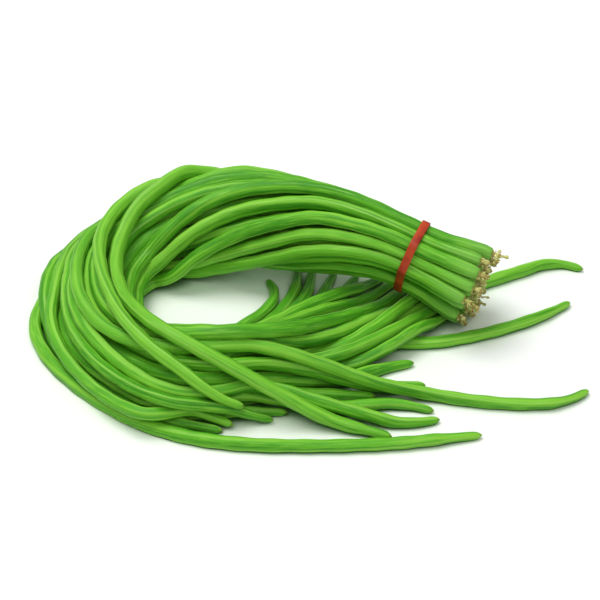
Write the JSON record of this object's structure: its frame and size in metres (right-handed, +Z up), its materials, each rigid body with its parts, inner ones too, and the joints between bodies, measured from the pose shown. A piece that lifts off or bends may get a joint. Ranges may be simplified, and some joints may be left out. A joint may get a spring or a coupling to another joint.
{
  "type": "yardlong bean bunch",
  "caption": "Bunch of long slender green bean pods, tied near the stem ends with a rubber band and laid down in one loose loop with fanned-out tips.",
  "frame": {"origin": "middle of the bunch's bounding box, on the surface that it lies on", "axes": "+X from the bend of the loop towards the stem ends and the loose tips, +Y from the loose tips towards the tied back of the loop, +Z up"},
  "size_m": [0.3096, 0.1908, 0.063],
  "materials": {
    "pod_skin": "fresh green bean skin, satin",
    "rubber_band": "red rubber, satin"
  },
  "bodies": {
    "root": {"pod_01": "pod_skin", "pod_02": "pod_skin", "pod_03": "pod_skin", "pod_04": "pod_skin", "pod_05": "pod_skin", "pod_06": "pod_skin", "pod_07": "pod_skin", "pod_08": "pod_skin", "pod_09": "pod_skin", "pod_10": "pod_skin", "pod_11": "pod_skin", "pod_12": "pod_skin", "pod_13": "pod_skin", "pod_14": "pod_skin", "pod_15": "pod_skin", "pod_16": "pod_skin", "pod_17": "pod_skin", "pod_18": "pod_skin", "pod_19": "pod_skin", "pod_20": "pod_skin", "pod_21": "pod_skin", "pod_22": "pod_skin", "pod_23": "pod_skin", "pod_24": "pod_skin", "pod_25": "pod_skin", "pod_26": "pod_skin", "pod_27": "pod_skin", "pod_28": "pod_skin", "rubber_band": "rubber_band"}
  },
  "joints": []
}
